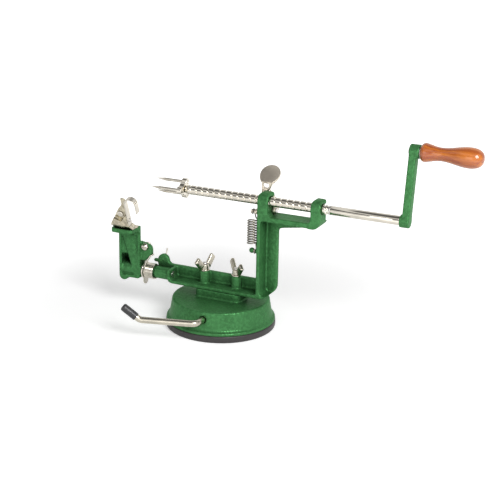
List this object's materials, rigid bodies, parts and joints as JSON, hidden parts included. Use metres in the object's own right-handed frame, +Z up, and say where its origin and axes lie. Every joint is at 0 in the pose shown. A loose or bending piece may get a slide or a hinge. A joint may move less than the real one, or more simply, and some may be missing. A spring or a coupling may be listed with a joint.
{
  "type": "apple peeler corer",
  "caption": "Hand-cranked apple peeler on a lever suction base, with a cast frame, a threaded feed screw with a fork, a sprung peeling arm and a turned wooden grip.",
  "frame": {"origin": "centre of the rubber suction ring, on the table it stands on", "axes": "+X along the feed screw towards the crank, +Y away from the user's side, +Z up"},
  "size_m": [0.3608, 0.138, 0.2055],
  "materials": {
    "green_paint": "glossy hammered green enamel",
    "nickel": "nickel-plated steel, lightly polished",
    "satin_nickel": "satin nickel plate",
    "steel": "plain steel",
    "rubber": "satin black-brown rubber",
    "dark_grip": "dipped dark vinyl",
    "turned_wood": "varnished orange-brown hardwood"
  },
  "bodies": {
    "stand": {"suction_pad": "rubber", "base_shell": "green_paint", "frame_studs": "steel", "frame_casting": "green_paint", "release_pin": "steel", "release_spring": "nickel", "arm_pivot_pin": "steel", "arm_pin_clip": "steel"},
    "washer_left_body": {"washer_left": "nickel"},
    "nut_left_body": {"wing_nut_left": "nickel"},
    "washer_right_body": {"washer_right": "nickel"},
    "nut_right_body": {"wing_nut_right": "nickel"},
    "collar_body": {"stop_collar": "steel"},
    "screw_body": {"feed_screw": "nickel", "fork_plate": "nickel", "fork_prongs": "nickel", "crank_arm": "green_paint", "crank_pin": "steel", "grip_washer": "steel"},
    "grip_body": {"wooden_grip": "turned_wood", "grip_axle": "steel"},
    "release_body": {"release_lever": "satin_nickel", "half_nut": "steel", "nut_rivets": "steel"},
    "lever_body": {"lever_rod": "nickel", "lever_cam": "steel", "lever_clip": "steel", "lever_grip": "dark_grip"},
    "yoke_body": {"lift_yoke": "steel"},
    "arm_body": {"peel_arm": "green_paint", "arm_spring": "nickel", "adjuster_screw": "nickel", "adjuster_nut": "nickel", "blade_holder": "nickel", "holder_screw": "nickel", "finger_rivet": "nickel", "peel_blade": "nickel", "blade_rivet": "steel"},
    "latch_body": {"arm_latch": "nickel"}
  },
  "joints": [
    {"name": "washer_left_rise", "type": "slide", "parent": "stand", "child": "washer_left_body", "axis": [0, 0, 1], "range_m": [0, 0.0024]},
    {"name": "wing_nut_left_spin", "type": "hinge", "parent": "washer_left_body", "child": "nut_left_body", "pos_m": [-0.018, 0, 0.0537], "axis": [0, 0, 1], "range_deg": [0, 1080]},
    {"name": "washer_right_rise", "type": "slide", "parent": "stand", "child": "washer_right_body", "axis": [0, 0, 1], "range_m": [0, 0.0024]},
    {"name": "wing_nut_right_spin", "type": "hinge", "parent": "washer_right_body", "child": "nut_right_body", "pos_m": [0.0165, 0, 0.0537], "axis": [0, 0, 1], "range_deg": [0, 1080]},
    {"name": "feed_slide", "type": "slide", "parent": "stand", "child": "collar_body", "axis": [1, 0, 0], "range_m": [-0.05715, 0.06509]},
    {"name": "crank_turn", "type": "hinge", "parent": "collar_body", "child": "screw_body", "pos_m": [0, -0.004, 0.1335], "axis": [1, 0, 0], "range_deg": [-3240, 3690]},
    {"name": "grip_spin", "type": "hinge", "parent": "screw_body", "child": "grip_body", "pos_m": [0.2, 0.00635, 0.19605], "axis": [1, 0, 0], "continuous": true},
    {"name": "release_hinge", "type": "hinge", "parent": "stand", "child": "release_body", "pos_m": [0.0476, 0.0012, 0.1237], "axis": [1, 0, 0], "range_deg": [-14, 0], "stiffness_Nm_per_rad": 0.1, "springref_deg": 34.38, "deforming": ["release_spring"]},
    {"name": "suction_lever_turn", "type": "hinge", "parent": "stand", "child": "lever_body", "pos_m": [0.0045, -0.0555, 0.021], "axis": [0, 1, 0], "range_deg": [0, 180]},
    {"name": "pad_lift", "type": "slide", "parent": "stand", "child": "yoke_body", "axis": [0, 0, 1], "range_m": [0, 0.003]},
    {"name": "peel_arm_swing", "type": "hinge", "parent": "stand", "child": "arm_body", "pos_m": [-0.095, -0.004, 0.0435], "axis": [1, 0, 0], "range_deg": [-14, 45], "stiffness_Nm_per_rad": 0.18, "springref_deg": -7.45, "deforming": ["arm_spring"]},
    {"name": "arm_latch_swing", "type": "hinge", "parent": "arm_body", "child": "latch_body", "pos_m": [-0.0825, -0.004, 0.0435], "axis": [1, 0, 0], "range_deg": [-10, 20]}
  ],
  "couplings": [
    {"joint": "washer_left_rise", "follows": "wing_nut_left_spin", "m_per_rad": 0.00012732},
    {"joint": "washer_right_rise", "follows": "wing_nut_right_spin", "m_per_rad": 0.00012732},
    {"joint": "feed_slide", "follows": "crank_turn", "m_per_rad": 0.0010106},
    {"joint": "pad_lift", "follows": "suction_lever_turn", "m_per_rad": 0.00095483}
  ]
}
